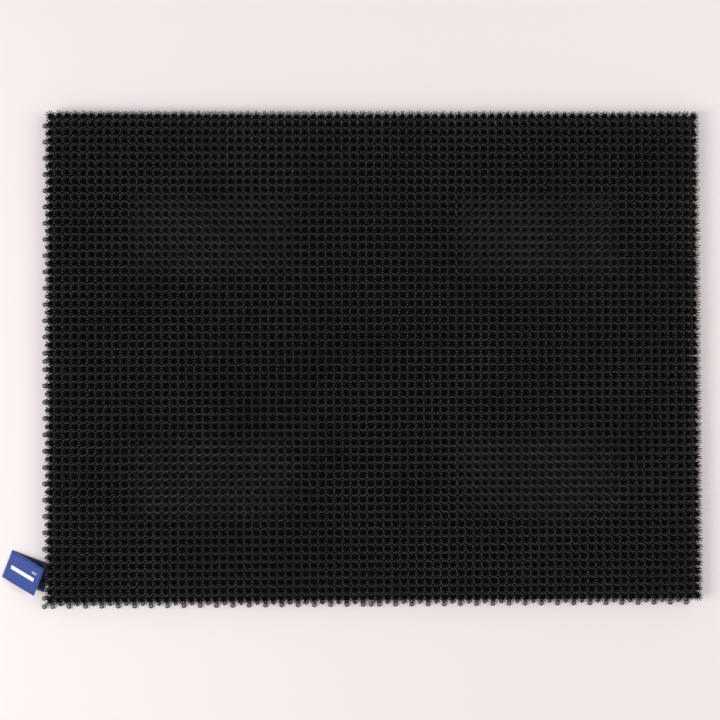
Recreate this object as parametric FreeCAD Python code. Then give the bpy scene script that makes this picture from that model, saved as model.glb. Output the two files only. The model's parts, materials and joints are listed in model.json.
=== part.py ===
import FreeCAD, Part
import math
import os

# Bristle door mat of four identical clip-together tiles, with a folded card tag.
# Millimetres, +Z up, floor at z = 0. +X is right and +Y is the back edge.
# The origin is the centre of the footprint, tag included.

V = FreeCAD.Vector

# Tile grid
pitch = 7.5  # from tuft to tuft, both ways
tile_columns = 40
tile_rows = 30
tile_gap = 0.3  # free space between neighbouring tiles, sideways and above the loops

# Net that carries the tufts: two crossed layers of ribs
net_underside = 2.4
rib_width = 2.6
rib_depth = 0.6  # of each layer

# Bristles
tip_height = 13.0
centre_tip_height = 12.4
tuft_foot_reach = 2.2  # from a tuft's centre, at the net
tuft_splay = 5.0  # from a tuft's centre, at the tips on the mat's outer edges
centre_first_column = 10
centre_columns = 20
centre_first_row = 10
centre_rows = 10

# Edge loops and eyelets, on the left and front edge of every tile
loop_thickness = 1.2
loop_outer_radius = 2.0
loop_hole_radius = 1.0
loop_reach = 4.2  # from a tuft's centre to the centre of its loop's hole
loop_neck_width = 2.4
loop_link_width = 2.2  # between the two rings of a loop with an eyelet
vee_reach = 7.6  # from a tuft's centre to the point of a loop with no eyelet
vee_tip_width = 0.6
corner_arm_width = 1.6

# Pegs under the right and back edge, which drop into the next tile's eyelets
peg_radius = 1.0
peg_length = 2.0
peg_clearance = 0.05  # radial, in an eyelet

# Feet
feet_across = 3
feet_deep = 3
foot_radius = 1.3

# Folded card tag, pinned in an eyelet of the left edge
card_thickness = 0.35
tag_width = 26.0
front_leaf_length = 35.5
front_leaf_slant = 6.2  # degrees, of its long edges towards the front of the mat
back_leaf_length = 40.0
tag_pin_inset = 7.4  # from the back leaf's end
tag_pin_offset = 10.2  # from the card's centre line
tag_turn = -21.0  # degrees about Z, of the card's long axis from +X
leaf_opening = 13.0  # degrees between the leaves at rest
crease_gap = 0.15  # from each leaf to the fold's axis
tag_eyelet_row = 4  # counted from the front edge
tag_pin_radius = 0.9
tag_pin_hole_clearance = 0.05
tag_head_radius = 2.0
tag_head_thickness = 0.25
tag_top_head_thickness = 0.4

# Worked out from the sizes above
tile_width = tile_columns * pitch
tile_depth = tile_rows * pitch
last_column = tile_columns - 1
last_row = tile_rows - 1
net_top = net_underside + 2 * rib_depth
half_rib = rib_width / 2
loop_top = net_underside - tile_gap
loop_bottom = loop_top - loop_thickness
eyelet_hole_radius = peg_radius + peg_clearance
eyelet_reach = pitch + loop_outer_radius
seam_reach = (pitch - tile_gap) / 2

# Mat edges from the point where the four tiles meet, at the first tuft of the back right tile
# less half a pitch
right_extent = tile_width - pitch / 2 + tuft_splay
back_extent = tile_depth - pitch / 2 + tuft_splay
front_extent = tile_depth - pitch / 2 + eyelet_reach

# Tag's fold, from the same point
turn = math.radians(tag_turn)
along = V(math.cos(turn), math.sin(turn), 0)
across = V(-math.sin(turn), math.cos(turn), 0)
tag_pin_at = V(-tile_width - pitch / 2, -tile_depth + pitch / 2 + tag_eyelet_row * pitch, 0)
fold_at = tag_pin_at - along * (back_leaf_length - tag_pin_inset) - across * tag_pin_offset
left_extent = -(fold_at - across * tag_width / 2).x

centre = V(
    (left_extent - right_extent) / 2,
    (front_extent - back_extent) / 2,
    0,
)  # moves the footprint's centre to the origin

tiles = {
    "back_right": (0, 0),
    "back_left": (-1, 0),
    "front_right": (0, -1),
    "front_left": (-1, -1),
}


def box(low, high):
    size = high - low
    return Part.makeBox(size.x, size.y, size.z, low)


def cylinder(x, y, bottom, top, radius):
    return Part.makeCylinder(radius, top - bottom, V(x, y, bottom))


def outline(points, z):
    corners = [V(x, y, z) for x, y in points]
    return Part.makePolygon(corners + corners[:1])


def rectangle(x0, y0, x1, y1, z):
    return outline([(x0, y0), (x1, y0), (x1, y1), (x0, y1)], z)


def ladder(slots, z):
    # Plate over all the tufts, pierced by slots, so that a rib is left along each line of tufts.
    edge = rectangle(
        -half_rib,
        -half_rib,
        last_column * pitch + half_rib,
        last_row * pitch + half_rib,
        z,
    )
    plate = Part.makeFace([edge] + slots, "Part::FaceMakerBullseye")
    return plate.extrude(V(0, 0, rib_depth))


def lengthwise_ribs():
    # Ribs along X, one for each row of tufts.
    slots = [
        rectangle(
            half_rib,
            row * pitch + half_rib,
            last_column * pitch - half_rib,
            (row + 1) * pitch - half_rib,
            net_underside,
        )
        for row in range(last_row)
    ]
    return ladder(slots, net_underside)


def crosswise_ribs():
    # Ribs along Y, one for each column of tufts, on top of the lengthwise ones.
    z = net_underside + rib_depth
    slots = [
        rectangle(
            column * pitch + half_rib,
            half_rib,
            (column + 1) * pitch - half_rib,
            last_row * pitch - half_rib,
            z,
        )
        for column in range(last_column)
    ]
    return ladder(slots, z)


def loop(with_eyelet):
    # One edge loop that points along -Y from the tuft at the origin.
    neck = box(
        V(-loop_neck_width / 2, -loop_reach, loop_bottom),
        V(loop_neck_width / 2, -half_rib, loop_top),
    )
    solids = [cylinder(0, -loop_reach, loop_bottom, loop_top, loop_outer_radius)]
    holes = [cylinder(0, -loop_reach, loop_bottom, loop_top, loop_hole_radius)]
    if with_eyelet:
        link = box(
            V(-loop_link_width / 2, -pitch, loop_bottom),
            V(loop_link_width / 2, -loop_reach, loop_top),
        )
        solids.append(link)
        solids.append(cylinder(0, -pitch, loop_bottom, loop_top, loop_outer_radius))
        holes.append(cylinder(0, -pitch, loop_bottom, loop_top, eyelet_hole_radius))
    else:
        half_tip = vee_tip_width / 2
        point = outline(
            [
                (-loop_outer_radius, -loop_reach),
                (-half_tip, -vee_reach),
                (half_tip, -vee_reach),
                (loop_outer_radius, -loop_reach),
            ],
            loop_bottom,
        )
        solids.append(Part.Face(point).extrude(V(0, 0, loop_thickness)))
    return neck.multiFuse(solids).cut(Part.makeCompound(holes))


def corner_eyelet():
    # Eyelet one pitch outside the tile's front left tuft both ways, on a diagonal arm.
    diagonal = pitch * math.sqrt(2)
    arm = box(
        V(-corner_arm_width / 2, -diagonal, loop_bottom),
        V(corner_arm_width / 2, 0, loop_top),
    )
    ring = cylinder(0, -diagonal, loop_bottom, loop_top, loop_outer_radius)
    hole = cylinder(0, -diagonal, loop_bottom, loop_top, eyelet_hole_radius)
    solid = arm.fuse(ring).cut(hole)
    solid.rotate(V(0, 0, 0), V(0, 0, 1), -45)
    return solid


def placed(shape, x, y, degrees=0):
    copy = shape.copy()
    copy.rotate(V(0, 0, 0), V(0, 0, 1), degrees)
    copy.translate(V(x, y, 0))
    return copy


def edge_loop(index):
    # Loops on even lines carry an eyelet, and those between them end in a point.
    return eyelet_loop if index % 2 == 0 else vee_loop


def side_loops():
    # Left edge, with the front left corner. The last row is left free for the corner eyelet
    # of the tile behind.
    rail = box(
        V(-half_rib, -half_rib, loop_bottom),
        V(half_rib, (last_row - 1) * pitch + half_rib, net_underside),
    )
    loops = [placed(edge_loop(row), 0, row * pitch, -90) for row in range(last_row)]
    loops.append(placed(eyelet_loop, 0, 0))
    loops.append(corner_eyelet())
    return rail.multiFuse(loops).removeSplitter()


def front_loops():
    # Front edge past the corner. The last column is left free for the corner eyelet of the
    # tile to the right.
    rail = box(
        V(half_rib, -half_rib, loop_bottom),
        V((last_column - 1) * pitch + half_rib, half_rib, net_underside),
    )
    loops = [
        placed(edge_loop(column), column * pitch, 0) for column in range(1, last_column)
    ]
    return rail.multiFuse(loops).removeSplitter()


def pegs():
    # Under every second tuft of the right and back edge, and under the corner tuft.
    spots = [(last_column, row) for row in range(0, last_row, 2)]
    spots += [(column, last_row) for column in range(0, last_column, 2)]
    spots.append((last_column, last_row))
    return Part.makeCompound(
        [
            cylinder(
                column * pitch,
                row * pitch,
                net_underside - peg_length,
                net_underside,
                peg_radius,
            )
            for column, row in spots
        ]
    )


def feet():
    columns = [int((n + 0.5) * tile_columns / feet_across) for n in range(feet_across)]
    rows = [int((n + 0.5) * tile_rows / feet_deep) for n in range(feet_deep)]
    return Part.makeCompound(
        [
            cylinder(column * pitch, row * pitch, 0, net_underside, foot_radius)
            for column in columns
            for row in rows
        ]
    )


def centre_block(top, gap=0):
    return box(
        V(
            (centre_first_column - 0.5) * pitch - gap,
            (centre_first_row - 0.5) * pitch - gap,
            net_top,
        ),
        V(
            (centre_first_column + centre_columns - 0.5) * pitch + gap,
            (centre_first_row + centre_rows - 0.5) * pitch + gap,
            top,
        ),
    )


def bristle_field(column_step, row_step):
    # Envelope of the tufts. It flares to the splayed tips on the mat's outer edges and stops
    # short of the next tile at a seam.
    left = tuft_splay if column_step < 0 else seam_reach
    right = seam_reach if column_step < 0 else tuft_splay
    front = tuft_splay if row_step < 0 else seam_reach
    back = seam_reach if row_step < 0 else tuft_splay
    width = last_column * pitch
    depth = last_row * pitch
    foot = rectangle(
        -tuft_foot_reach,
        -tuft_foot_reach,
        width + tuft_foot_reach,
        depth + tuft_foot_reach,
        net_top,
    )
    tips = rectangle(-left, -front, width + right, depth + back, tip_height)
    field = Part.makeLoft([foot, tips], True, True)
    return field.cut(centre_block(tip_height + 1))


def back_leaf():
    leaf = box(
        V(0, -tag_width / 2, tag_head_thickness),
        V(back_leaf_length, tag_width / 2, tag_head_thickness + card_thickness),
    )
    hole = cylinder(
        back_leaf_length - tag_pin_inset,
        tag_pin_offset,
        tag_head_thickness,
        tag_head_thickness + card_thickness,
        tag_pin_radius + tag_pin_hole_clearance,
    )
    return leaf.cut(hole)


def front_leaf():
    fold_height = tag_head_thickness + card_thickness + crease_gap
    half = tag_width / 2
    aside = front_leaf_length * math.tan(math.radians(front_leaf_slant))
    edge = outline(
        [
            (0, -half),
            (front_leaf_length, -half - aside),
            (front_leaf_length, half - aside),
            (0, half),
        ],
        fold_height + crease_gap,
    )
    leaf = Part.Face(edge).extrude(V(0, 0, card_thickness))
    leaf.rotate(V(0, 0, fold_height), V(0, 1, 0), -leaf_opening)
    return leaf


def tag_pin():
    # Shaft with a flat head under the card and one above the eyelet.
    x = back_leaf_length - tag_pin_inset
    y = tag_pin_offset
    shaft_top = loop_top + tile_gap
    shaft = cylinder(x, y, tag_head_thickness, shaft_top, tag_pin_radius)
    foot = cylinder(x, y, 0, tag_head_thickness, tag_head_radius)
    cap = cylinder(x, y, shaft_top, shaft_top + tag_top_head_thickness, tag_head_radius)
    return shaft.multiFuse([foot, cap])


os.makedirs("parts", exist_ok=True)

eyelet_loop = loop(True)
vee_loop = loop(False)

# What every tile has alike
tile_features = {
    "lengthwise_ribs": lengthwise_ribs(),
    "crosswise_ribs": crosswise_ribs(),
    "side_loops": side_loops(),
    "front_loops": front_loops(),
    "pegs": pegs(),
    "feet": feet(),
    "centre_bristles": centre_block(centre_tip_height),
}

for tile, (column_step, row_step) in tiles.items():
    x = column_step * tile_width + pitch / 2 + centre.x
    y = row_step * tile_depth + pitch / 2 + centre.y
    features = dict(tile_features, bristles=bristle_field(column_step, row_step))
    for feature, shape in features.items():
        placed(shape, x, y).exportStep(f"parts/{tile}_{feature}.step")

tag_pieces = {
    "tag_back_leaf": back_leaf(),
    "tag_front_leaf": front_leaf(),
    "tag_pin": tag_pin(),
}
for node, shape in tag_pieces.items():
    fold = fold_at + centre
    placed(shape, fold.x, fold.y, tag_turn).exportStep(f"parts/{node}.step")

print("centre", centre, "fold", fold_at + centre, "tag pin", tag_pin_at + centre)
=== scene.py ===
import json
import math

import bpy
import numpy as np
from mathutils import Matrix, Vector


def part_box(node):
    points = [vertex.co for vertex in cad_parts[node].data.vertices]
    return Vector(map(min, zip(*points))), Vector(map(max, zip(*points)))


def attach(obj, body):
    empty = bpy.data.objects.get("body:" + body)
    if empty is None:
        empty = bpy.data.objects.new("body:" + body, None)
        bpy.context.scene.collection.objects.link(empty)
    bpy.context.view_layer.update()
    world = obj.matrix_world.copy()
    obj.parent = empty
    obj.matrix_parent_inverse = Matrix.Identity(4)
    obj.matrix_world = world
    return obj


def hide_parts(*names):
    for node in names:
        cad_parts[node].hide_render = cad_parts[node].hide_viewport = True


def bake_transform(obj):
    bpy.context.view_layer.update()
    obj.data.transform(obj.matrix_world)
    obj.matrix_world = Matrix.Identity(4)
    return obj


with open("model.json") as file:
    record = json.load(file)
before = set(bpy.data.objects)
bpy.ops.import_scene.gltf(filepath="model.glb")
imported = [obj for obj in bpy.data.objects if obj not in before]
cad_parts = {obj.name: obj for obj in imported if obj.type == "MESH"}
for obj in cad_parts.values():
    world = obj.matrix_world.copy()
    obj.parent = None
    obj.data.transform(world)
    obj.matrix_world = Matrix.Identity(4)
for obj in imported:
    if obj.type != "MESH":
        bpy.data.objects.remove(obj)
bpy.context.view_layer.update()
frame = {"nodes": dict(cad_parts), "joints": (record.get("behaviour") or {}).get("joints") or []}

mm = 0.001

# every tile is the same grid of tufts
grid = {"columns": 40, "rows": 30, "ribWidth": 2.6 * mm}
tiles = ["back_right", "back_left", "front_right", "front_left"]


class Value:
    # a node's output that can stand in plain maths
    def __init__(self, finish, output):
        self.finish = finish
        self.output = output

    def maths(self, operation, first, second):
        return self.finish.add("ShaderNodeMath", {"operation": operation}, {0: first, 1: second})

    def __add__(self, other):
        return self.maths("ADD", self, other)

    def __radd__(self, other):
        return self.maths("ADD", other, self)

    def __sub__(self, other):
        return self.maths("SUBTRACT", self, other)

    def __rsub__(self, other):
        return self.maths("SUBTRACT", other, self)

    def __mul__(self, other):
        return self.maths("MULTIPLY", self, other)

    def __rmul__(self, other):
        return self.maths("MULTIPLY", other, self)

    def __gt__(self, other):
        return self.maths("GREATER_THAN", self, other)

    def __lt__(self, other):
        return self.maths("LESS_THAN", self, other)

    def __abs__(self):
        return self.maths("ABSOLUTE", self, 0.0)

    def ranged(self, low, high):
        # 0 at low, 1 at high, held at both ends
        return self.finish.add(
            "ShaderNodeMapRange",
            {"clamp": True},
            {"Value": self, "From Min": low, "From Max": high},
        )


class Finish:
    # one material and the way its nodes are added
    def __init__(self, name):
        self.material = bpy.data.materials.new(name)
        self.material.use_nodes = True
        self.tree = self.material.node_tree
        self.tree.nodes.clear()

    @classmethod
    def around(cls, tree):
        finish = cls.__new__(cls)
        finish.tree = tree
        return finish

    def add(self, kind, settings=None, values=None, output=0):
        node = self.tree.nodes.new(kind)
        for name, setting in (settings or {}).items():
            setattr(node, name, setting)
        for slot, value in (values or {}).items():
            socket = node.inputs[slot]
            if isinstance(value, Value):
                self.tree.links.new(value.output, socket)
            elif isinstance(value, tuple) and len(value) == 3 and socket.type == "RGBA":
                socket.default_value = (*value, 1.0)
            else:
                socket.default_value = value
        return Value(self, node.outputs[output]) if len(node.outputs) else node

    def mix(self, factor, first, second):
        return self.add(
            "ShaderNodeMix",
            {"data_type": "RGBA", "clamp_factor": True},
            {0: factor, 6: first, 7: second},
            output=2,
        )

    def place(self):
        return self.add("ShaderNodeTexCoord", output="Object")

    def noise(self, where, scale, detail=2.0):
        return self.add(
            "ShaderNodeTexNoise", {}, {"Vector": where, "Scale": scale, "Detail": detail}
        )

    def axis(self, where, name):
        return self.add("ShaderNodeSeparateXYZ", {}, {"Vector": where}, output=name)

    def bump(self, height, strength, distance):
        return self.add(
            "ShaderNodeBump", {}, {"Height": height, "Strength": strength, "Distance": distance}
        )

    def surface(self, values):
        shader = self.add("ShaderNodeBsdfPrincipled", {}, values)
        self.add("ShaderNodeOutputMaterial", {}, {"Surface": shader})
        return self.material


plasticLook = {
    # deep and lit are the dark and pale ends of the tone: its height share is painted shade at the foot
    # and light towards the tips, its flow share the plastic's own flow marks
    "deep": (0.003, 0.003, 0.0033),
    "lit": (0.008, 0.008, 0.0084),
    # painted highlight: the glint colour on needle tips and net ribs between the tufts, and the radii
    # of its ring
    "paintedGlint": (0.085, 0.085, 0.088),
    "glintFrom": 2.8 * mm,
    "glintFull": 3.6 * mm,
    "glintPast": 3.9 * mm,
    "glintTo": 4.6 * mm,
    "smooth": 0.26,
    "rough": 0.42,
    "sheen": 0.4,
    "flowScale": 14.0,
    "flowDetail": 3.0,
    "grainScale": 900.0,
    "heightShade": 0.55,
    "toneFlow": 0.6,
    "glintFlow": 0.9,
    "glintGrain": 0.5,
    "bump": 0.25,
    "bumpDepth": 0.02 * mm,
    # lifts: gains on each material's painted shade, painted highlight and flow marks
    "fieldLift": 1.0,
    "centreLift": 1.6,
    "netLift": 1.2,
}


def tuftDistance(finish, where):
    # how far a point is, in plan, from the nearest tuft's middle
    squares = []
    for name, first in (("X", levels["x0"]), ("Y", levels["y0"])):
        aside = finish.axis(where, name) - first
        aside = aside.maths("PINGPONG", aside, pitch / 2)
        squares.append(aside * aside)
    total = squares[0] + squares[1]
    return total.maths("SQRT", total, 0.0)


def blackPlastic(name, low, high, lift):
    # moulded polyethylene with faint flow marks; painted shade makes it darker at the foot, and a
    # painted highlight (glint) lies in a ring around every tuft, where its needle tips cross the next
    # tuft's
    look = plasticLook
    finish = Finish(name)
    where = finish.place()
    height = finish.axis(where, "Z").ranged(low, high)
    flow = finish.noise(where, look["flowScale"], look["flowDetail"])
    grain = finish.noise(where, look["grainScale"])
    # the height share is painted shade, darker at the foot and lighter towards the tips; the flow share
    # is the plastic's own flow marks
    tone = (height * look["heightShade"] + flow * look["toneFlow"]) * lift
    # painted highlight: a ring between the tufts, stronger towards the tips, broken up by flow and
    # grain noise
    far = tuftDistance(finish, where)
    ring = far.ranged(look["glintFrom"], look["glintFull"])
    ring = ring * (1.0 - far.ranged(look["glintPast"], look["glintTo"]))
    glint = ring * height * (flow * look["glintFlow"] + grain * look["glintGrain"]) * lift
    colour = finish.mix(tone, look["deep"], look["lit"])
    return finish.surface(
        {
            "Base Color": finish.mix(glint, colour, look["paintedGlint"]),
            "Roughness": look["smooth"] + grain * (look["rough"] - look["smooth"]),
            "Specular IOR Level": look["sheen"],
            "Normal": finish.bump(grain, look["bump"], look["bumpDepth"]),
        }
    )


cardLook = {
    "blue": (0.026, 0.052, 0.240),
    "blueWorn": (0.036, 0.066, 0.275),
    "inside": (0.020, 0.030, 0.130),
    "paper": (0.80, 0.80, 0.82),
    "barFrom": 4.8,
    "barTo": 30.0,
    "barHeight": 3.3,
    "barAcross": -0.6,
    "lineFrom": 25.8,
    "lineTo": 30.6,
    "lineHeight": 1.7,
    "lineAcross": 5.0,
    "offPrint": -10.0,
    "barInk": 0.92,
    "lineInk": 0.45,
    "mottleScale": 260.0,
    "mottleDetail": 4.0,
    "fibreScale": 1800.0,
    "smooth": 0.5,
    "roughening": 0.16,
    "sheen": 0.2,
    "bump": 0.15,
    "bumpDepth": 0.03 * mm,
    "insideSmooth": 0.4,
    "edgeSmooth": 0.6,
}


def cardPrint():
    # blue ink with a plain white bar and a short line, on coated card
    look = cardLook
    finish = Finish("card_print")
    along = finish.add("ShaderNodeAttribute", {"attribute_name": "along"}, output="Fac")
    across = finish.add("ShaderNodeAttribute", {"attribute_name": "across"}, output="Fac")
    where = finish.place()

    def bar(start, end, centre, height):
        inside = (along > start) * (along < end)
        return inside * (abs(across - centre) < height / 2)

    big = bar(look["barFrom"], look["barTo"], look["barAcross"], look["barHeight"])
    small = bar(look["lineFrom"], look["lineTo"], look["lineAcross"], look["lineHeight"])
    mottle = finish.noise(where, look["mottleScale"], look["mottleDetail"])
    fibre = finish.noise(where, look["fibreScale"])
    ink = finish.mix(mottle, look["blue"], look["blueWorn"])
    ink = finish.mix(small * look["lineInk"], ink, look["paper"])
    ink = finish.mix(big * look["barInk"], ink, look["paper"])
    return finish.surface(
        {
            "Base Color": ink,
            "Roughness": look["smooth"] + mottle * look["roughening"],
            "Specular IOR Level": look["sheen"],
            "Normal": finish.bump(fibre, look["bump"], look["bumpDepth"]),
        }
    )


plainLook = {
    "fibreScale": 1500.0,
    "fibreDetail": 3.0,
    "shade": 0.8,
    "roughening": 0.2,
    "bump": 0.2,
    "bumpDepth": 0.03 * mm,
}


def plainCard(name, colour, smooth):
    look = plainLook
    finish = Finish(name)
    where = finish.place()
    fibre = finish.noise(where, look["fibreScale"], look["fibreDetail"])
    darker = tuple(look["shade"] * part for part in colour)
    return finish.surface(
        {
            "Base Color": finish.mix(fibre, darker, colour),
            "Roughness": smooth + fibre * look["roughening"],
            "Normal": finish.bump(fibre, look["bump"], look["bumpDepth"]),
        }
    )


nylonLook = {
    "dark": (0.022, 0.022, 0.024),
    "pale": (0.034, 0.034, 0.036),
    "cloudScale": 300.0,
    "smooth": 0.28,
    "roughening": 0.2,
}


def nylon():
    look = nylonLook
    finish = Finish("black_nylon")
    where = finish.place()
    cloud = finish.noise(where, look["cloudScale"])
    return finish.surface(
        {
            "Base Color": finish.mix(cloud, look["dark"], look["pale"]),
            "Roughness": look["smooth"] + cloud * look["roughening"],
        }
    )


def newPiece(name, points, quads, triangles, materials, body, slot):
    mesh = bpy.data.meshes.new(name)
    quads = np.asarray(quads, np.int32).reshape(-1, 4)
    triangles = np.asarray(triangles, np.int32).reshape(-1, 3)
    mesh.vertices.add(len(points))
    mesh.vertices.foreach_set("co", np.asarray(points, np.float32).ravel())
    corners = np.concatenate([quads.ravel(), triangles.ravel()])
    mesh.loops.add(len(corners))
    mesh.loops.foreach_set("vertex_index", corners)
    quadStarts = np.arange(len(quads)) * 4
    triangleStarts = len(quads) * 4 + np.arange(len(triangles)) * 3
    mesh.polygons.add(len(quads) + len(triangles))
    mesh.polygons.foreach_set("loop_start", np.concatenate([quadStarts, triangleStarts]))
    mesh.update(calc_edges=True)
    mesh.polygons.foreach_set("use_smooth", np.full(len(mesh.polygons), True))
    for material in materials:
        mesh.materials.append(material)
    piece = bpy.data.objects.new(name, mesh)
    bpy.context.scene.collection.objects.link(piece)
    if body:
        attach(piece, body)
    return piece


weldStep = 0.002 * mm


class Heap:
    # gathers many small shapes into one mesh
    def __init__(self):
        self.points = []
        self.quads = []
        self.triangles = []
        self.count = 0

    def put(self, points, quads=(), triangles=()):
        points = np.asarray(points, float).reshape(-1, 3)
        self.points.append(points)
        self.quads.append(np.asarray(quads, int).reshape(-1, 4) + self.count)
        self.triangles.append(np.asarray(triangles, int).reshape(-1, 3) + self.count)
        self.count += len(points)

    def repeat(self, points, quads, triangles, places):
        # the same faces for every row of points, one row for each place
        shift = np.arange(len(places))[:, None, None] * points.shape[1]
        quads = np.asarray(quads, int).reshape(-1, 4)
        triangles = np.asarray(triangles, int).reshape(-1, 3)
        self.put(points, quads[None] + shift, triangles[None] + shift)

    def joined(self):
        return (
            np.concatenate(self.points),
            np.concatenate(self.quads),
            np.concatenate(self.triangles),
        )

    def welded(self):
        # the same, with points that coincide made one
        points, quads, triangles = self.joined()
        keys = np.round(points / weldStep).astype(np.int64)
        _, first, which = np.unique(keys, axis=0, return_index=True, return_inverse=True)
        which = which.ravel()
        return points[first], which[quads], which[triangles]


def ringFaces(rings, sides, closed=False):
    # quads between rings of points that follow each other
    faces = []
    last = rings if closed else rings - 1
    for ring in range(last):
        following = (ring + 1) % rings
        for side in range(sides):
            beside = (side + 1) % sides
            faces.append(
                (
                    ring * sides + side,
                    ring * sides + beside,
                    following * sides + beside,
                    following * sides + side,
                )
            )
    return faces


def tileGrid(tile):
    # where a tile's tufts stand, and its levels
    low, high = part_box(tile + "_lengthwise_ribs")
    half = grid["ribWidth"] / 2
    return {
        "x0": low.x + half,
        "y0": low.y + half,
        "pitch": (high.x - low.x - 2 * half) / (grid["columns"] - 1),
        "netBottom": low.z,
        "netTop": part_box(tile + "_crosswise_ribs")[1].z,
        "tip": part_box(tile + "_bristles")[1].z,
        "centreTip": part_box(tile + "_centre_bristles")[1].z,
        "loopBottom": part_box(tile + "_side_loops")[0].z,
        "centreBox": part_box(tile + "_centre_bristles"),
    }


levels = tileGrid(tiles[0])
pitch = levels["pitch"]
netTop = levels["netTop"]


tuft = {
    "rings": [
        {"needles": 11, "sides": 4, "foot": 1.5 * mm, "splay": 4.6 * mm, "spread": 0.35 * mm},
        {"needles": 7, "sides": 3, "foot": 0.9 * mm, "splay": 2.1 * mm, "spread": 0.3 * mm},
    ],
    "thickFoot": 0.72 * mm,
    "thickTip": 0.52 * mm,
    "shoulder": 0.9,
    "footRise": 0.3 * mm,
    "sideFrom": (0.3, 0.95, 0.0),
    "firstAngle": 8.0,
    "swing": 5.0,
    "tipScatter": 0.5 * mm,
    "seamReach": 3.55 * mm,
    "outerReach": 4.95 * mm,
}

centreTuft = dict(
    tuft,
    rings=[
        {"needles": 10, "sides": 4, "foot": 1.4 * mm, "splay": 3.5 * mm, "spread": 0.25 * mm},
        {"needles": 5, "sides": 3, "foot": 0.8 * mm, "splay": 1.6 * mm, "spread": 0.2 * mm},
    ],
    thickFoot=0.66 * mm,
    thickTip=0.5 * mm,
)


def needleField(heap, spots, look, tipHeight, limits, chance):
    # straight tapered needles that fan out of every spot, ring by ring
    for number, ring in enumerate(look["rings"]):
        shape = (len(spots), ring["needles"])
        angle = np.arange(ring["needles"]) * 360.0 / ring["needles"] + look["firstAngle"]
        angle = np.radians(angle[None] + chance.uniform(-1, 1, shape) * look["swing"])
        outward = np.stack([np.cos(angle), np.sin(angle)], axis=-1)
        reach = (ring["splay"] + ring["spread"] * chance.uniform(-1, 1, shape))[..., None]
        start = np.zeros((*shape, 3))
        start[..., :2] = spots[:, None] + outward * ring["foot"]
        start[..., 2] = netTop + look["footRise"]
        end = np.zeros((*shape, 3))
        end[..., :2] = spots[:, None] + outward * reach
        end[..., 2] = tipHeight - look["tipScatter"] * (number + chance.uniform(0, 1, shape))
        end[..., 0] = np.clip(end[..., 0], limits[0], limits[1])
        end[..., 1] = np.clip(end[..., 1], limits[2], limits[3])
        start = start.reshape(-1, 3)
        end = end.reshape(-1, 3)
        way = end - start
        way /= np.linalg.norm(way, axis=1)[:, None]
        side = np.cross(way, np.array(look["sideFrom"]))
        side /= np.linalg.norm(side, axis=1)[:, None]
        other = np.cross(way, side)
        shoulder = start + (end - start) * look["shoulder"]
        sides = ring["sides"]
        corners = []
        for centre, radius in ((start, look["thickFoot"]), (shoulder, look["thickTip"])):
            for corner in range(sides):
                turn = corner * 2 * math.pi / sides
                corners.append(
                    centre + radius * (math.cos(turn) * side + math.sin(turn) * other)
                )
        corners.append(end)
        points = np.stack(corners, axis=1)
        tips = [(sides + k, sides + (k + 1) % sides, 2 * sides) for k in range(sides)]
        heap.repeat(points, ringFaces(2, sides), tips, start)


def tileSpots(place):
    # the tufts of a tile, the centre block apart
    column, row = np.meshgrid(np.arange(grid["columns"]), np.arange(grid["rows"]))
    spots = np.stack(
        [place["x0"] + column.ravel() * pitch, place["y0"] + row.ravel() * pitch], axis=1
    )
    low, high = place["centreBox"]
    central = (
        (spots[:, 0] > low.x)
        & (spots[:, 0] < high.x)
        & (spots[:, 1] > low.y)
        & (spots[:, 1] < high.y)
    )
    return spots[~central], spots[central]


def makeBristles(tile, number):
    place = tileGrid(tile)
    chance = np.random.default_rng(40 + number)
    field, centre = tileSpots(place)

    def reach(edge):
        return tuft["outerReach"] if edge in tile else tuft["seamReach"]

    limits = (
        field[:, 0].min() - reach("left"),
        field[:, 0].max() + reach("right"),
        field[:, 1].min() - reach("front"),
        field[:, 1].max() + reach("back"),
    )
    fieldHeap = Heap()
    needleField(fieldHeap, field, tuft, place["tip"], limits, chance)
    piece = newPiece(
        tile + "_needles", *fieldHeap.joined(), [bristleBlack], tile, "bristle_plastic"
    )
    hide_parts(tile + "_bristles")
    centreHeap = Heap()
    needleField(centreHeap, centre, centreTuft, place["centreTip"], limits, chance)
    piece = newPiece(
        tile + "_centre_needles",
        *centreHeap.joined(),
        [centreBlack],
        tile,
        "centre_bristle_plastic",
    )
    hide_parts(tile + "_centre_bristles")


net = {
    "hole": 1.3 * mm,
    "rim": 2.3 * mm,
    "rimRise": 0.3 * mm,
    "edgeDrop": 0.7 * mm,
    "outer": 2.2 * mm,
    "outerLooped": 3.2 * mm,
    "outerTaper": 0.6,
    "seamGap": 0.3 * mm,
    "stub": 1.75 * mm,
    "stubRise": 2.6 * mm,
    "stubDish": 1.4 * mm,
}


def netOutline(side):
    # one tuft's share of the net in plan, five points a quarter: a square less a quarter of the
    # round hole at each corner
    quarter = [(side, 0)]
    for angle in np.radians([0, 30, 60, 90]):
        away = net["hole"] * np.array([math.sin(angle), math.cos(angle)])
        quarter.append((side - away[0], side - away[1]))
    points = []
    for c, s in ((1, 0), (0, 1), (-1, 0), (0, -1)):
        points += [(x * c - y * s, x * s + y * c) for x, y in quarter]
    return np.array(points)


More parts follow.
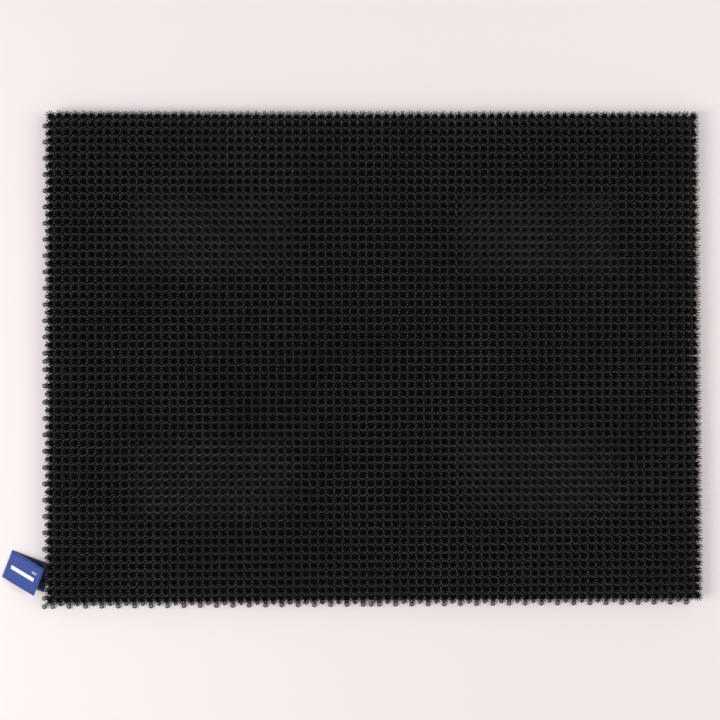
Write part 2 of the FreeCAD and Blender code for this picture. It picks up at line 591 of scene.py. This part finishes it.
def makeNet(tile):
    # a crowned net with a raised stub under every tuft, as one closed mesh
    place = tileGrid(tile)
    bottom = place["netBottom"]
    outline = netOutline(pitch / 2)
    count = len(outline)
    perQuarter = count // 4
    turn = np.arctan2(outline[:, 1], outline[:, 0])
    circle = np.stack([np.cos(turn), np.sin(turn)], axis=1)
    onCrest = np.arange(count) % perQuarter == 0
    edgeHeight = np.where(onCrest, netTop, netTop - net["edgeDrop"])
    layers = [
        (outline, np.full(count, bottom)),
        (outline, edgeHeight),
        (circle * net["rim"], np.full(count, netTop + net["rimRise"])),
        (circle * net["stub"], np.full(count, netTop + net["stubRise"])),
    ]
    template = [(x, y, z) for flat, heights in layers for (x, y), z in zip(flat, heights)]
    template += [(0, 0, netTop + net["stubRise"] - net["stubDish"]), (0, 0, bottom)]
    faces = []
    caps = []
    for k in range(count):
        beside = (k + 1) % count
        if k % perQuarter in (1, 2, 3):  # the edge of a hole, and not where the next tuft's share joins
            faces.append((k, beside, count + beside, count + k))
        for ring in (1, 2):
            low, high = ring * count, (ring + 1) * count
            faces.append((low + k, low + beside, high + beside, high + k))
        caps.append((3 * count + k, 3 * count + beside, 4 * count))
        caps.append((beside, k, 4 * count + 1))
    heap = Heap()
    column, row = np.meshgrid(np.arange(grid["columns"]), np.arange(grid["rows"]))
    column, row = column.ravel(), row.ravel()
    template = np.array(template)
    sides = {
        (1, 0): column == grid["columns"] - 1,
        (0, 1): row == grid["rows"] - 1,
        (-1, 0): column == 0,
        (0, -1): row == 0,
    }
    points = np.repeat(template[None], len(column), axis=0)
    for (x, y), outer in sides.items():
        # the outermost shares are cut short: close to the next tile, or tapered to thin ribs
        axis, way = (0, x) if x else (1, y)
        atEdge = (("left", "right"), ("front", "back"))[axis][way > 0] in tile
        shares = points[outer]
        limit = np.full(shares.shape[:2], (pitch - net["seamGap"]) / 2)
        if atEdge:
            reach = net["outer"] if way > 0 else net["outerLooped"]
            beyond = np.maximum(0, np.abs(shares[..., 1 - axis]) - net["stub"])
            limit = reach - net["outerTaper"] * beyond
        shares[..., axis] = way * np.minimum(way * shares[..., axis], limit)
        points[outer] = shares
    spots = np.stack([place["x0"] + column * pitch, place["y0"] + row * pitch, 0 * column], axis=1)
    heap.repeat(points + spots[:, None], faces, caps, spots)
    walls = []
    for quarter, outer in enumerate(sides.values()):
        first = quarter * perQuarter
        for k in ((first - 1) % count, first):
            beside = (k + 1) % count
            for tuftNumber in np.where(outer)[0]:
                base = tuftNumber * len(template)
                walls.append(
                    (base + k, base + beside, base + count + beside, base + count + k)
                )
    heap.quads.append(np.array(walls))
    piece = newPiece(tile + "_net", *heap.welded(), [netBlack], tile, "net_plastic")
    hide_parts(tile + "_lengthwise_ribs", tile + "_crosswise_ribs")


loopShape = {
    "wire": 0.56 * mm,
    "halfHeight": 0.6 * mm,
    "ring": 1.62 * mm,
    "reach": 4.25 * mm,
    "tip": 7.1 * mm,
    "inner": 2.7 * mm,
    "legWidth": 1.7 * mm,
    "sides": 8,
    "ringSteps": 18,
    "backSteps": 9,
    "ringLap": 0.1 * mm,
    "shoulderWidth": 0.62,
    "shoulderAt": 0.5,
    "noseRound": 0.35 * mm,
    "noseDrop": 0.2 * mm,
    "neckFrom": 0.6 * mm,
    "neckMiddle": 1.8 * mm,
    "neckWire": 1.25 * mm,
    "armWire": 0.75 * mm,
    "armInto": 0.7,
    "railChamfer": 0.25 * mm,
    "railLap": 0.05 * mm,
}
loopMiddle = levels["loopBottom"] + loopShape["halfHeight"]


def tube(heap, path, closed, wire):
    # a flat oval wire along points in the plane
    path = np.asarray(path, float)
    if closed:
        way = np.roll(path, -1, axis=0) - np.roll(path, 1, axis=0)
    else:
        way = np.gradient(path, axis=0)
    way /= np.linalg.norm(way, axis=1)[:, None]
    left = np.stack([-way[:, 1], way[:, 0]], axis=1)
    sides = loopShape["sides"]
    turn = np.arange(sides) * 2 * math.pi / sides
    points = np.zeros((len(path), sides, 3))
    points[..., :2] = path[:, None] + left[:, None] * (np.cos(turn) * wire)[None, :, None]
    points[..., 2] = loopMiddle + np.sin(turn) * loopShape["halfHeight"]
    faces = ringFaces(len(path), sides, closed)
    caps = []
    if not closed:
        end = (len(path) - 1) * sides
        for k in range(1, sides - 1):
            caps.append((0, k, k + 1))
            caps.append((end, end + k + 1, end + k))
    heap.put(points, faces, [cap[::-1] for cap in caps])


def circlePath(radius, centre):
    steps = loopShape["ringSteps"]
    turn = np.arange(steps) * 2 * math.pi / steps
    return np.stack(
        [centre[0] + radius * np.cos(turn), centre[1] + radius * np.sin(turn)], axis=1
    )


def loopPath(tip):
    # a pointed loop, round beside the tuft and drawn to a point outside
    width = loopShape["legWidth"]
    inner = loopShape["inner"]
    middle = loopShape["reach"]
    turn = np.linspace(0, math.pi, loopShape["backSteps"])
    back = np.stack([width * np.cos(turn), -middle + (middle - inner) * np.sin(turn)], axis=1)
    rounding, drop = loopShape["noseRound"], loopShape["noseDrop"]
    shoulder = width * loopShape["shoulderWidth"]
    shoulderY = -middle - (tip - middle) * loopShape["shoulderAt"]
    nose = [
        (-shoulder, shoulderY),
        (-rounding, -tip + drop),
        (0.0, -tip),
        (rounding, -tip + drop),
        (shoulder, shoulderY),
    ]
    return np.concatenate([back, nose])


def addLoop(heap, x, y, turn, withEyelet):
    c, s = math.cos(turn), math.sin(turn)

    def moved(path):
        path = np.asarray(path)
        return np.stack(
            [x + path[:, 0] * c - path[:, 1] * s, y + path[:, 0] * s + path[:, 1] * c], axis=1
        )

    ring, wire = loopShape["ring"], loopShape["wire"]
    tip = pitch - ring + loopShape["ringLap"] if withEyelet else loopShape["tip"]
    tube(heap, moved(loopPath(tip)), True, wire)
    if withEyelet:
        tube(heap, moved(circlePath(ring, (0, -pitch))), True, wire)
    neck = [(0, -loopShape[name]) for name in ("neckFrom", "neckMiddle", "inner")]
    tube(heap, moved(neck), False, loopShape["neckWire"])


def bar(heap, start, end, low, high, half):
    # a straight rail with chamfered sides, under a line of tufts
    way = np.array(end) - np.array(start)
    way /= np.linalg.norm(way)
    left = np.array([-way[1], way[0]])
    chamfer = loopShape["railChamfer"]
    section = [
        (-half, low + chamfer),
        (-half, high),
        (half, high),
        (half, low + chamfer),
        (half - chamfer, low),
        (-half + chamfer, low),
    ]
    count = len(section)
    rings = []
    for point in (start, end):
        rings.append([(*(np.array(point) + left * u), z) for u, z in section])
    caps = []
    for k in range(1, count - 1):
        caps.append((0, k, k + 1))
        caps.append((count, count + k + 1, count + k))
    heap.put(rings, [face[::-1] for face in ringFaces(2, count)], caps)


def makeLoops(tile):
    # the left edge with the front left corner, then the rest of the front edge
    place = tileGrid(tile)
    x0, y0 = place["x0"], place["y0"]
    half = grid["ribWidth"] / 2
    low = place["loopBottom"]
    high = place["netBottom"] + loopShape["railLap"]
    left = Heap()
    lastRow = grid["rows"] - 2
    bar(left, (x0, y0 - half), (x0, y0 + lastRow * pitch + half), low, high, half)
    for row in range(lastRow + 1):
        addLoop(left, x0, y0 + row * pitch, -math.pi / 2, row % 2 == 0)
    addLoop(left, x0, y0, 0.0, True)
    corner = np.array([x0 - pitch, y0 - pitch])
    ring = loopShape["ring"]
    arm = [(x0, y0), (x0 - pitch / 2, y0 - pitch / 2), tuple(corner + ring * loopShape["armInto"])]
    tube(left, arm, False, loopShape["armWire"])
    tube(left, circlePath(ring, corner), True, loopShape["wire"])
    piece = newPiece(tile + "_side_rings", *left.joined(), [netBlack], tile, "net_plastic")
    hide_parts(tile + "_side_loops")

    front = Heap()
    lastColumn = grid["columns"] - 2
    bar(front, (x0 + half, y0), (x0 + lastColumn * pitch + half, y0), low, high, half)
    for column in range(1, lastColumn + 1):
        addLoop(front, x0 + column * pitch, y0, 0.0, column % 2 == 0)
    piece = newPiece(tile + "_front_rings", *front.joined(), [netBlack], tile, "net_plastic")
    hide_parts(tile + "_front_loops")


tag = {
    "turn": -21.0,
    "opening": 13.0,
    "slant": 6.2,
    "thickness": 0.35 * mm,
    "width": 26.0 * mm,
    "front": 35.5 * mm,
    "back": 40.0 * mm,
    "bow": 0.35 * mm,
    "steps": 22,
    "creaseSteps": 11,
    "acrossSteps": 10,
}


def jointNamed(name):
    return next(joint for joint in frame["joints"] if joint["name"] == name)


def makeCard():
    # one folded card: back leaf on the floor, round crease, front leaf standing a little open
    fold = jointNamed("tag_open")["pos_m"]
    level = fold[2]
    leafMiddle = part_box("tag_back_leaf")[0].z + tag["thickness"] / 2
    radius = level - leafMiddle
    opening = math.radians(tag["opening"])
    steps = tag["steps"]
    backLine = [
        (radius + (tag["back"] - radius) * (1 - k / steps), leafMiddle) for k in range(steps)
    ]
    turns = np.linspace(-math.pi / 2, -math.pi * 1.5 + opening, tag["creaseSteps"])
    crease = [(radius + radius * math.cos(a), level + radius * math.sin(a)) for a in turns]
    start = crease[-1]
    frontLine = []
    for k in range(1, steps + 1):
        far = k / steps
        lift = tag["bow"] * math.sin(math.pi * far)
        frontLine.append(
            (
                start[0] + tag["front"] * far * math.cos(opening) - lift * math.sin(opening),
                start[1] + tag["front"] * far * math.sin(opening) + lift * math.cos(opening),
            )
        )
    line = np.array(backLine + crease + frontLine)
    way = np.gradient(line, axis=0)
    way /= np.linalg.norm(way, axis=1)[:, None]
    normal = np.stack([-way[:, 1], way[:, 0]], axis=1)
    half = tag["thickness"] / 2
    turn = math.radians(tag["turn"])
    along = np.array([math.cos(turn), math.sin(turn)])
    across = np.array([-math.sin(turn), math.cos(turn)])
    widths = np.linspace(-tag["width"] / 2, tag["width"] / 2, tag["acrossSteps"] + 1)
    # the front leaf's long edges slant
    aside = np.zeros(len(line))
    slope = math.tan(math.radians(tag["slant"]))
    aside[-steps:] = tag["front"] * slope * np.arange(1, steps + 1) / steps
    layers = []
    for side in (1, -1):  # outside first, then inside
        shifted = line + normal * half * side
        for (u, z), shift in zip(shifted, aside):
            for v in widths:
                flat = np.array(fold[:2]) + along * u + across * (v - shift)
                layers.append((flat[0], flat[1], z))
    rows, columns = len(line), len(widths)
    block = rows * columns

    def at(layer, row, column):
        return layer * block + row * columns + column

    outside, inside, rim = [], [], []
    for row in range(rows - 1):
        for column in range(columns - 1):
            a, b = at(0, row, column), at(0, row, column + 1)
            c, d = at(0, row + 1, column + 1), at(0, row + 1, column)
            outside.append((a, d, c, b))
            inside.append((a + block, b + block, c + block, d + block))
    for row in range(rows - 1):
        for column, flip in ((0, False), (columns - 1, True)):
            face = (
                at(0, row, column),
                at(1, row, column),
                at(1, row + 1, column),
                at(0, row + 1, column),
            )
            rim.append(face[::-1] if flip else face)
    for column in range(columns - 1):
        for row, flip in ((0, True), (rows - 1, False)):
            face = (
                at(0, row, column),
                at(1, row, column),
                at(1, row, column + 1),
                at(0, row, column + 1),
            )
            rim.append(face[::-1] if flip else face)
    faces = outside + inside + rim
    materials = [
        cardPrint(),
        plainCard("card_inside", cardLook["inside"], cardLook["insideSmooth"]),
        plainCard("card_edge", cardLook["paper"], cardLook["edgeSmooth"]),
    ]
    card = newPiece("tag_card", layers, faces, [], materials, None, "printed_card")
    mesh = card.data
    slots = [0] * len(outside) + [1] * len(inside) + [2] * len(rim)
    mesh.polygons.foreach_set("material_index", slots)
    mesh.polygons.foreach_set("use_smooth", [True] * (2 * len(outside)) + [False] * len(rim))
    # how far each point is along the front leaf and across it, in mm, for the print
    points = np.array(layers)
    flat = points[:, :2] - np.array(fold[:2])
    isFront = np.tile(np.repeat(np.arange(rows) >= rows - steps - 1, columns), 2)
    alongValues = np.where(isFront, flat @ along / math.cos(opening) / mm, cardLook["offPrint"])
    mesh.attributes.new("along", "FLOAT", "POINT").data.foreach_set("value", alongValues)
    acrossValues = np.tile(widths / mm, 2 * rows)
    mesh.attributes.new("across", "FLOAT", "POINT").data.foreach_set("value", acrossValues)
    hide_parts("tag_back_leaf", "tag_front_leaf")
    # points on the crease's inner face: low at the back leaf's top, high at the front leaf's underside
    inner = radius - half
    creaseLow = (fold[0], fold[1], level - inner)
    creaseHigh = (fold[0], fold[1], level + inner)
    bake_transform(card)


pin = {
    "sides": 28,
    "shaft": 0.9 * mm,
    "head": 2.0 * mm,
    "round": 0.12 * mm,
    "cap": 0.4 * mm,
    "crownWidth": 0.8,
    "topWidth": 0.4,
}


def makePin():
    # turned round its own axis: flat foot under the card, shaft, domed cap above the eyelet
    low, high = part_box("tag_pin")
    x, y = (low.x + high.x) / 2, (low.y + high.y) / 2
    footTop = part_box("tag_back_leaf")[0].z
    capBottom = high.z - pin["cap"]
    edge = pin["round"]
    profile = [
        (pin["head"] - edge, low.z),
        (pin["head"], low.z + edge / 2),
        (pin["head"] - edge, footTop),
        (pin["shaft"], footTop),
        (pin["shaft"], capBottom),
        (pin["head"] - edge, capBottom),
        (pin["head"], capBottom + edge),
        (pin["head"] * pin["crownWidth"], high.z - edge),
        (pin["head"] * pin["topWidth"], high.z),
    ]
    sides = pin["sides"]
    turn = np.arange(sides) * 2 * math.pi / sides
    points = [
        (x + radius * math.cos(a), y + radius * math.sin(a), z) for radius, z in profile for a in turn
    ]
    points += [(x, y, low.z), (x, y, high.z)]
    end = (len(profile) - 1) * sides
    fans = [((k + 1) % sides, k, len(points) - 2) for k in range(sides)]
    fans += [(end + k, end + (k + 1) % sides, len(points) - 1) for k in range(sides)]
    piece = newPiece(
        "tag_stud", points, ringFaces(len(profile), sides), fans, [nylon()], "tag", "nylon_pin"
    )
    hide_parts("tag_pin")


bristleBlack = blackPlastic("bristle_black", netTop, levels["tip"], plasticLook["fieldLift"])
centreBlack = blackPlastic(
    "centre_bristle_black", netTop, levels["centreTip"], plasticLook["centreLift"]
)
netBlack = blackPlastic("net_black", 0.0, netTop, plasticLook["netLift"])

for number, tile in enumerate(tiles):
    makeNet(tile)
    makeBristles(tile, number)
    makeLoops(tile)
    for node in ("_pegs", "_feet"):
        cadNode = frame["nodes"][tile + node]
        cadNode.data.materials.clear()
        cadNode.data.materials.append(netBlack)
    print("tile", tile)

makeCard()
makePin()
print("tag")


room = {
    "floor": (0.80, 0.742, 0.738),
    "floorSize": 6.0,
    "floorPaler": 1.02,
    "floorCloud": 3.0,
    "floorSmooth": 0.75,
    "floorRoughening": 0.05,
    "sky": (1.0, 0.985, 0.98),
    "skyTop": 0.12,
    "skyLow": 1.14,
    "key": {"at": (-1.4, -0.35, 1.2), "size": 1.0, "watts": 24.0},
    "fill": {"at": (1.4, 0.2, 1.3), "size": 1.2, "watts": 16.5},
}


def makeFloor():
    half = room["floorSize"] / 2
    mesh = bpy.data.meshes.new("floor")
    corners = [(-half, -half, 0), (half, -half, 0), (half, half, 0), (-half, half, 0)]
    mesh.from_pydata(corners, [], [(0, 1, 2, 3)])
    finish = Finish("pale_floor")
    where = finish.place()
    cloud = finish.noise(where, room["floorCloud"])
    paler = tuple(min(1.0, part * room["floorPaler"]) for part in room["floor"])
    mesh.materials.append(
        finish.surface(
            {
                "Base Color": finish.mix(cloud, room["floor"], paler),
                "Roughness": room["floorSmooth"] + cloud * room["floorRoughening"],
            }
        )
    )
    floor = bpy.data.objects.new("floor", mesh)
    bpy.context.scene.collection.objects.link(floor)


def makeLamp(name, look):
    lamp = bpy.data.lights.new(name, "AREA")
    lamp.size = look["size"]
    lamp.energy = look["watts"]
    placed = bpy.data.objects.new(name, lamp)
    placed.location = look["at"]
    placed.rotation_euler = (-Vector(look["at"])).to_track_quat("-Z", "Y").to_euler()
    bpy.context.scene.collection.objects.link(placed)


def makeSky():
    # soft light from all sides, least from straight above
    world = bpy.data.worlds.new("sky")
    world.use_nodes = True
    background = world.node_tree.nodes["Background"]
    sky = Finish.around(world.node_tree)
    direction = sky.add("ShaderNodeTexCoord", output="Generated")
    height = sky.axis(direction, "Z").ranged(0.0, 1.0)
    strength = room["skyTop"] + (1 - height) * (room["skyLow"] - room["skyTop"])
    world.node_tree.links.new(strength.output, background.inputs["Strength"])
    background.inputs["Color"].default_value = (*room["sky"], 1.0)
    bpy.context.scene.world = world


cameraPlace = {
    "at": (-0.0109, -0.0154, 1.0),
    "turn": (0.834, -1.038, -0.183),
    "lens": 53.95,
    "sensor": 36.0,
}


def makeCamera():
    lens = bpy.data.cameras.new("camera")
    lens.lens = cameraPlace["lens"]
    lens.sensor_width = cameraPlace["sensor"]
    camera = bpy.data.objects.new("camera", lens)
    camera.location = cameraPlace["at"]
    camera.rotation_euler = [math.radians(angle) for angle in cameraPlace["turn"]]
    bpy.context.scene.collection.objects.link(camera)
    bpy.context.scene.camera = camera


makeFloor()
makeLamp("key", room["key"])
makeLamp("fill", room["fill"])
makeSky()
makeCamera()
bpy.context.scene.view_settings.view_transform = "Standard"
print("room")
